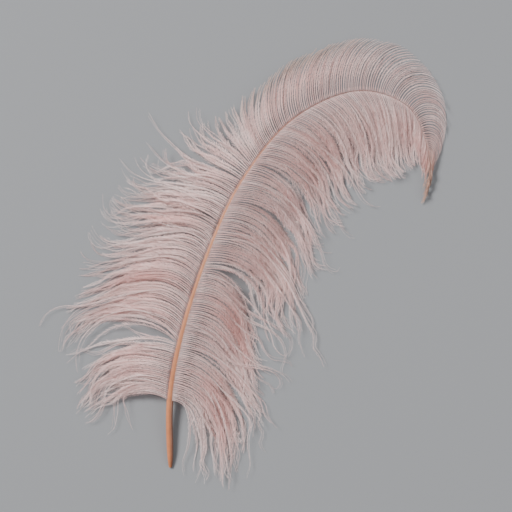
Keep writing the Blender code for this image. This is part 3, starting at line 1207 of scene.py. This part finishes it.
        # Each barb has a band of the map, and each of its sides a strip of that band.
        u0, u1 = self.steps[:-1], self.steps[1:]
        v0 = (np.arange(count)[:, None] + np.array([0.05, 0.35, 0.65])) / count
        v1 = v0 + 0.28 / count
        u = np.stack([u0, u0, u1, u0, u1, u1], axis=-1)[None, :, None, :]
        v = np.stack([v0, v1, v1, v0, v1, v0], axis=-1)[:, None, :, :]
        side_uvs = np.stack(np.broadcast_arrays(u, v), axis=-1).reshape(-1, 3, 2)
        end_u = np.repeat([0.001, 0.999], count)[:, None] + np.array([0, 0.001, 0])
        end_v = ((np.tile(np.arange(count), 2) + 0.5) / count)[:, None] + np.array([0, 0, 0.2]) / count
        uvs = np.concatenate([side_uvs, np.stack([end_u, end_v], axis=-1)])
        return verts.reshape(-1, 3), np.concatenate([sides, ends]), uvs, rows, shares

    def barbule_slivers(self, barbs: BarbSet) -> tuple[Array, ...]:
        """Make barbules as narrow bent slivers, on both sides of barbs.

        Args:
            barbs: The barbs.

        Returns:
            Vertices, triangles, map places, and each vertex's barb and its share of the way along.
        """
        rng, kind, count = self.rng, self.barbules, len(barbs.lengths)
        per_barb = np.maximum(4, (barbs.lengths * kind.clothed / kind.spacing).astype(int)) * 2
        rows = np.repeat(np.arange(count), per_barb)
        total = len(rows)
        place = np.arange(total) - np.repeat(np.cumsum(per_barb) - per_barb, per_barb)
        hand = np.where(place % 2 == 0, 1.0, -1.0)
        share = (place + rng.uniform(0, 1, total)) / per_barb[rows] * kind.clothed + kind.bare
        share = np.clip(share, 0, 1)
        grids = (barbs.points, *self.frames(barbs.points))
        base, ahead, side, up = (read_along(grid, rows, share) for grid in grids)

        bulge = smooth(share, 0, 0.45) * (1 - smooth(share, 0.45, 0.42))
        fine = 1 - 0.5 * smooth(share, 0.75, 0.25)
        length = (kind.short * fine + (kind.long - kind.short) * bulge) * rng.uniform(0.6, 1.3, total)
        fluff = barbs.fluff[rows]
        half_length = (length * fluff * 0.5)[:, None]
        lean = np.radians(kind.lean * (0.4 + 0.6 * fluff) + rng.normal(0, kind.lean_spread, total))
        rise = rng.normal(0, 0.4, total) - kind.droop * (1 - smooth(share, 0, 0.4))
        out = np.sin(lean)
        way = ahead * np.cos(lean)[:, None] + side * (out * hand)[:, None] + up * (out * rise)[:, None]
        onward = way * 0.75 + ahead * 0.45 - np.array([0, 0, 0.08])
        onward /= np.linalg.norm(onward, axis=1, keepdims=True)
        middle = base + way * half_length
        roll = rng.uniform(-1.0, 1.0, total)[:, None]
        flat = np.cross(way, up)
        flat /= np.linalg.norm(flat, axis=1, keepdims=True) + TINY
        half = (flat * np.cos(roll) + up * np.sin(roll)) * (kind.width / 2)
        corners = np.stack([base - half, base + half, middle + half, middle + onward * half_length], axis=1)
        corners[..., 2] = np.maximum(corners[..., 2], kind.lowest)

        # Each has two triangles, on its barb's band of the map.
        two = np.array(((0, 1, 2), (0, 2, 3)))
        tris = (np.arange(total)[:, None, None] * 4 + two).reshape(-1, 3)
        width = 0.25 * kind.spacing / barbs.lengths[rows]
        u0, u1 = np.clip(share - width, 0, 1), np.clip(share + width, 0, 1)
        u = np.stack([u0, u1, u1, share], axis=-1)
        v = ((rows + 0.08) / count)[:, None] + np.array([0, 0, 0.4, 0.8]) / count
        uvs = np.stack([u, v], axis=-1)[:, two].reshape(-1, 3, 2)
        return corners.reshape(-1, 3), tris, uvs, np.repeat(rows, 4), np.repeat(share, 4)


def mesh_object(
    name: str, verts: Array, tris: Array, uvs: Array, values: dict[str, Array]
) -> bpy.types.Object:
    """Make an object from arrays.

    Args:
        name: The object's name.
        verts: Vertex places in metres.
        tris: Three vertex numbers a triangle.
        uvs: Three map places a triangle, so that a bake of the finish has a map that suits fibres.
        values: Numbers for each vertex, by attribute name.

    Returns:
        The object, linked to the scene.
    """
    mesh = bpy.data.meshes.new(name)
    mesh.vertices.add(len(verts))
    mesh.vertices.foreach_set("co", verts.astype(np.float32).ravel())
    mesh.loops.add(len(tris) * 3)
    mesh.loops.foreach_set("vertex_index", tris.astype(np.int32).ravel())
    mesh.polygons.add(len(tris))
    mesh.polygons.foreach_set("loop_start", np.arange(0, len(tris) * 3, 3, dtype=np.int32))
    mesh.polygons.foreach_set("use_smooth", np.ones(len(tris), bool))
    layer = mesh.uv_layers.new(name=BAKE_MAP)
    layer.uv.foreach_set("vector", uvs.astype(np.float32).ravel())
    for key, numbers in values.items():
        mesh.attributes.new(key, "FLOAT", "POINT").data.foreach_set("value", numbers.astype(np.float32))
    mesh.update(calc_edges=True)
    made = bpy.data.objects.new(name, mesh)
    bpy.context.scene.collection.objects.link(made)
    return made


@dataclass(frozen=True)
class SoftLamp:
    """A square lamp: where it hangs, its side in metres and its power in watts."""

    name: str
    place: Triple
    side: float
    power: float


@dataclass
class Studio:
    """The table top, the lights and a camera that looks straight down.

    The key stands at the upper left with window light from the same side, and a weak fill at the lower right.
    """

    key: SoftLamp = SoftLamp("key_lamp", (-1.35, 0.95, 1.85), 0.8, 44.0)
    fill: SoftLamp = SoftLamp("fill_lamp", (1.7, -0.7, 1.6), 1.6, 16.0)
    window_strength: float = 2.8
    window_spread: float = 18.0
    air: str = "#dcdee2"
    air_strength: float = 0.58
    half_floor: float = 12.0
    view_centre: Pair = (11 * MM, 8 * MM)
    view_width: float = 512 * MM
    view_level: float = 12 * MM
    lens: float = 150.0
    sensor: float = 36.0

    def lay_floor(self) -> None:
        """Lay the paper."""
        side = self.half_floor
        corners = [(-side, -side, 0), (side, -side, 0), (side, side, 0), (-side, side, 0)]
        mesh = bpy.data.meshes.new("table_top")
        mesh.from_pydata(corners, [], [(0, 1, 2, 3)])
        floor = bpy.data.objects.new("table_top", mesh)
        bpy.context.scene.collection.objects.link(floor)
        mesh.materials.append(PaperFloor().make())

    def hang(self, light: bpy.types.Light, place: Triple) -> None:
        """Hang a light so that it points at the plume, out of the camera's sight.

        Args:
            light: The light.
            place: Where it hangs.
        """
        lamp = bpy.data.objects.new(light.name, light)
        lamp.location = place
        lamp.rotation_euler = (-Vector(place)).to_track_quat("-Z", "Y").to_euler()
        lamp.visible_camera = False
        bpy.context.scene.collection.objects.link(lamp)

    def light(self) -> None:
        """Set the key, the fill, the window light and an even sky."""
        for lamp in (self.key, self.fill):
            soft = bpy.data.lights.new(lamp.name, "AREA")
            soft.shape, soft.size, soft.energy = "SQUARE", lamp.side, lamp.power
            self.hang(soft, lamp.place)
        window = bpy.data.lights.new("window_light", "SUN")
        window.energy, window.angle = self.window_strength, math.radians(self.window_spread)
        self.hang(window, self.key.place)
        world = bpy.data.worlds.new("studio_air")
        world.use_nodes = True
        back = world.node_tree.nodes["Background"]
        back.inputs["Color"].default_value = linear(self.air)
        back.inputs["Strength"].default_value = self.air_strength
        bpy.context.scene.world = world

    def set_camera(self) -> None:
        """Look straight down from far enough that the plume isn't stretched."""
        data = bpy.data.cameras.new("camera")
        data.lens, data.sensor_width = self.lens, self.sensor
        camera = bpy.data.objects.new("camera", data)
        distance = self.view_width * self.lens / self.sensor
        camera.location = (*self.view_centre, distance + self.view_level)
        bpy.context.scene.collection.objects.link(camera)
        bpy.context.scene.camera = camera


def main() -> None:
    """Dress the quill, grow both vanes and set the studio."""
    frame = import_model()
    quill = Quill()
    quill.dress(frame["nodes"]["quill"])
    down = DyedBarbs().make()
    Vane("outer", Side.OUTER, OUTER_LOCKS, OUTER_WISPS, quill, seed=11, node="outer_vane").build(down)
    Vane("inner", Side.INNER, INNER_LOCKS, INNER_WISPS, quill, seed=23, node="inner_vane").build(down)
    studio = Studio()
    studio.lay_floor()
    studio.light()
    studio.set_camera()
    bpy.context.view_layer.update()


if __name__ == "__main__":
    main()
